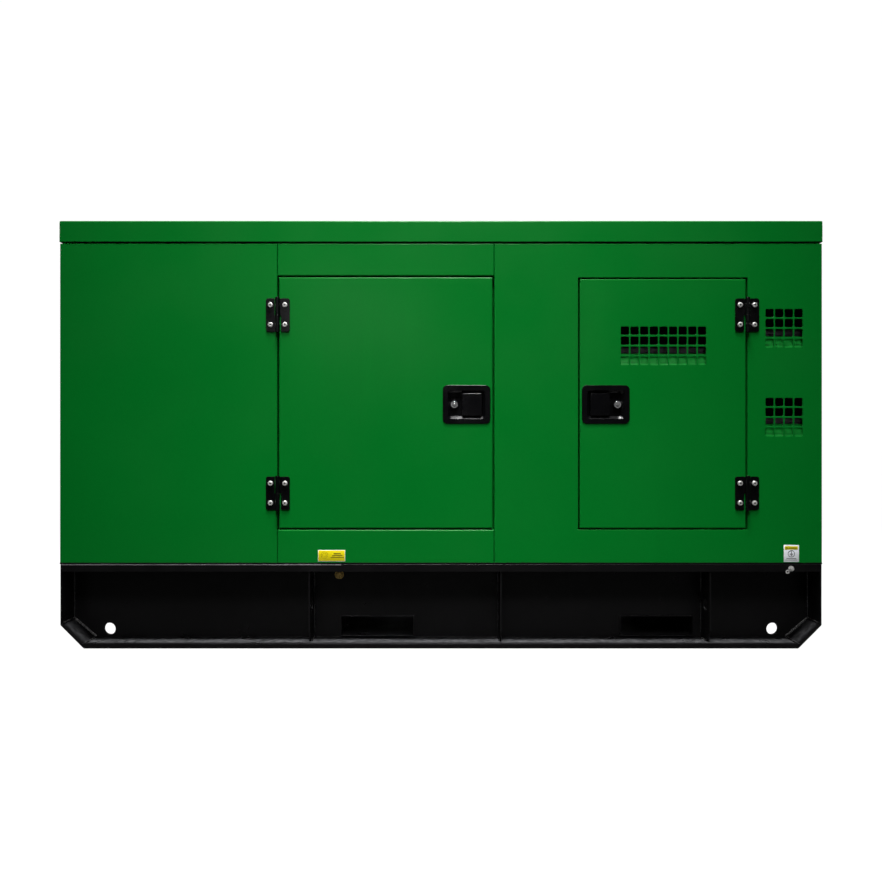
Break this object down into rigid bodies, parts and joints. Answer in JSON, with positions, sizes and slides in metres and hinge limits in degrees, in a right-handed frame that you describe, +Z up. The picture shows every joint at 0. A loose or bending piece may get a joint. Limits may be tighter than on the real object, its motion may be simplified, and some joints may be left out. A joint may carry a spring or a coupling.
{
  "type": "canopied diesel generator set",
  "caption": "Closed diesel generator set: green sheet-metal canopy with hinged doors on a black lifting skid, with engine, generator, radiator and control cabinet inside.",
  "frame": {"origin": "centre of the footprint on the ground", "axes": "+X along the set towards the generator end, -Y the long side with the control door, +Z up"},
  "size_m": [2.3, 1.0066, 1.287],
  "materials": {
    "canopy_green": "satin powder coat",
    "skid_black": "satin powder coat",
    "latch_black": "satin",
    "bright_steel": "zinc plated",
    "lock_chrome": "polished",
    "brass": "turned",
    "seal_rubber": "matt",
    "engine_iron": "painted casting",
    "cover_metal": "cast",
    "core_metal": "black core",
    "generator_paint": "painted casting",
    "exhaust_steel": "heat resistant paint",
    "black_plastic": "moulded",
    "red_plastic": "moulded",
    "cabinet_grey": "powder coat"
  },
  "bodies": {
    "canopy_and_skid": {"side_rails": "skid_black", "rail_stiffeners": "skid_black", "cross_members": "skid_black", "fork_pockets": "skid_black", "fuel_tank": "skid_black", "oil_drain_plug": "brass", "earth_stud": "bright_steel", "front_radiator_panel": "canopy_green", "front_centre_frame": "canopy_green", "front_generator_panel": "canopy_green", "rear_radiator_panel": "canopy_green", "rear_centre_frame": "canopy_green", "rear_generator_panel": "canopy_green", "radiator_end_panel": "canopy_green", "generator_end_panel": "canopy_green", "panel_vent_hoods": "canopy_green", "roof": "canopy_green", "roof_grille": "skid_black", "canopy_seals": "seal_rubber", "hinge_leaves_fixed": "latch_black", "hinge_screws_fixed": "bright_steel", "engine_block": "engine_iron", "rocker_cover": "cover_metal", "charging_alternator": "cover_metal", "generator_housing": "generator_paint", "rubber_mounts": "seal_rubber", "radiator": "core_metal", "fan_shroud": "skid_black", "air_cleaner": "black_plastic", "exhaust_system": "exhaust_steel", "battery": "black_plastic", "control_cabinet": "cabinet_grey"},
    "front_engine_door_leaf": {"front_engine_door": "canopy_green", "front_engine_hinge_leaves": "latch_black", "front_engine_hinge_screws": "bright_steel", "front_engine_latch_tray": "latch_black"},
    "front_engine_paddle": {"front_engine_latch_paddle": "latch_black"},
    "front_engine_cylinder": {"front_engine_lock_cylinder": "lock_chrome"},
    "front_engine_bolt": {"front_engine_lock_bolt": "bright_steel"},
    "front_control_door_leaf": {"front_control_door": "canopy_green", "front_control_hinge_leaves": "latch_black", "front_control_hinge_screws": "bright_steel", "front_control_latch_tray": "latch_black"},
    "front_control_paddle": {"front_control_latch_paddle": "latch_black"},
    "front_control_cylinder": {"front_control_lock_cylinder": "lock_chrome"},
    "front_control_bolt": {"front_control_lock_bolt": "bright_steel"},
    "rear_engine_door_leaf": {"rear_engine_door": "canopy_green", "rear_engine_hinge_leaves": "latch_black", "rear_engine_hinge_screws": "bright_steel", "rear_engine_latch_tray": "latch_black"},
    "rear_engine_paddle": {"rear_engine_latch_paddle": "latch_black"},
    "rear_engine_cylinder": {"rear_engine_lock_cylinder": "lock_chrome"},
    "rear_engine_bolt": {"rear_engine_lock_bolt": "bright_steel"},
    "engine_and_rotor_shaft": {"rotating_line": "bright_steel"},
    "fan": {"cooling_fan": "black_plastic"},
    "charger_rotor": {"charger_pulley": "bright_steel"},
    "tank_cap": {"fuel_cap": "black_plastic"},
    "stop_button": {"emergency_stop": "red_plastic"},
    "start_key": {"key_switch": "lock_chrome"},
    "breaker_handle": {"breaker_lever": "black_plastic"}
  },
  "joints": [
    {"name": "front_engine_door_hinge", "type": "hinge", "parent": "canopy_and_skid", "child": "front_engine_door_leaf", "pos_m": [-0.49075, -0.4963, 0.735], "axis": [0, 0, -1], "range_deg": [0, 110]},
    {"name": "front_engine_paddle_pull", "type": "hinge", "parent": "front_engine_door_leaf", "child": "front_engine_paddle", "pos_m": [0.119, -0.483, 0.734], "axis": [0, 0, 1], "range_deg": [0, 40], "stiffness_Nm_per_rad": 0.01},
    {"name": "front_engine_lock_turn", "type": "hinge", "parent": "front_engine_door_leaf", "child": "front_engine_cylinder", "pos_m": [0.04, -0.473, 0.734], "axis": [0, 1, 0], "range_deg": [0, 90]},
    {"name": "front_engine_bolt_throw", "type": "slide", "parent": "front_engine_door_leaf", "child": "front_engine_bolt", "axis": [1, 0, 0], "range_m": [0, 0.016]},
    {"name": "front_control_door_hinge", "type": "hinge", "parent": "canopy_and_skid", "child": "front_control_door_leaf", "pos_m": [0.92075, -0.4963, 0.735], "axis": [0, 0, 1], "range_deg": [0, 110]},
    {"name": "front_control_paddle_pull", "type": "hinge", "parent": "front_control_door_leaf", "child": "front_control_paddle", "pos_m": [0.454, -0.483, 0.734], "axis": [0, 0, -1], "range_deg": [0, 40], "stiffness_Nm_per_rad": 0.01},
    {"name": "front_control_lock_turn", "type": "hinge", "parent": "front_control_door_leaf", "child": "front_control_cylinder", "pos_m": [0.533, -0.473, 0.734], "axis": [0, -1, 0], "range_deg": [0, 90]},
    {"name": "front_control_bolt_throw", "type": "slide", "parent": "front_control_door_leaf", "child": "front_control_bolt", "axis": [-1, 0, 0], "range_m": [0, 0.016]},
    {"name": "rear_engine_door_hinge", "type": "hinge", "parent": "canopy_and_skid", "child": "rear_engine_door_leaf", "pos_m": [-0.49075, 0.4963, 0.735], "axis": [0, 0, 1], "range_deg": [0, 110]},
    {"name": "rear_engine_paddle_pull", "type": "hinge", "parent": "rear_engine_door_leaf", "child": "rear_engine_paddle", "pos_m": [0.119, 0.483, 0.734], "axis": [0, 0, -1], "range_deg": [0, 40], "stiffness_Nm_per_rad": 0.01},
    {"name": "rear_engine_lock_turn", "type": "hinge", "parent": "rear_engine_door_leaf", "child": "rear_engine_cylinder", "pos_m": [0.04, 0.473, 0.734], "axis": [0, 1, 0], "range_deg": [0, 90]},
    {"name": "rear_engine_bolt_throw", "type": "slide", "parent": "rear_engine_door_leaf", "child": "rear_engine_bolt", "axis": [1, 0, 0], "range_m": [0, 0.016]},
    {"name": "shaft_spin", "type": "hinge", "parent": "canopy_and_skid", "child": "engine_and_rotor_shaft", "pos_m": [0, 0, 0.52], "axis": [1, 0, 0], "continuous": true},
    {"name": "fan_spin", "type": "hinge", "parent": "canopy_and_skid", "child": "fan", "pos_m": [-0.54, 0, 0.662], "axis": [1, 0, 0], "continuous": true},
    {"name": "charger_spin", "type": "hinge", "parent": "canopy_and_skid", "child": "charger_rotor", "pos_m": [-0.44, -0.2, 0.64], "axis": [1, 0, 0], "continuous": true},
    {"name": "tank_cap_turn", "type": "hinge", "parent": "canopy_and_skid", "child": "tank_cap", "pos_m": [0.78, -0.37, 0.43], "axis": [0, 0, 1], "range_deg": [0, 90]},
    {"name": "stop_button_press", "type": "slide", "parent": "canopy_and_skid", "child": "stop_button", "axis": [0, 1, 0], "range_m": [0, 0.005]},
    {"name": "start_key_turn", "type": "hinge", "parent": "canopy_and_skid", "child": "start_key", "pos_m": [0.72, -0.411, 0.755], "axis": [0, 1, 0], "range_deg": [0, 90]},
    {"name": "breaker_handle_throw", "type": "hinge", "parent": "canopy_and_skid", "child": "breaker_handle", "pos_m": [0.56, -0.419, 0.69], "axis": [1, 0, 0], "range_deg": [-35, 35]}
  ],
  "couplings": [
    {"joint": "front_engine_lock_turn", "follows": "front_engine_bolt_throw", "rad_per_m": 98.175},
    {"joint": "front_control_lock_turn", "follows": "front_control_bolt_throw", "rad_per_m": 98.175},
    {"joint": "rear_engine_lock_turn", "follows": "rear_engine_bolt_throw", "rad_per_m": 98.175},
    {"joint": "fan_spin", "follows": "shaft_spin", "ratio": 1.2},
    {"joint": "charger_spin", "follows": "shaft_spin", "ratio": 2.1818}
  ]
}
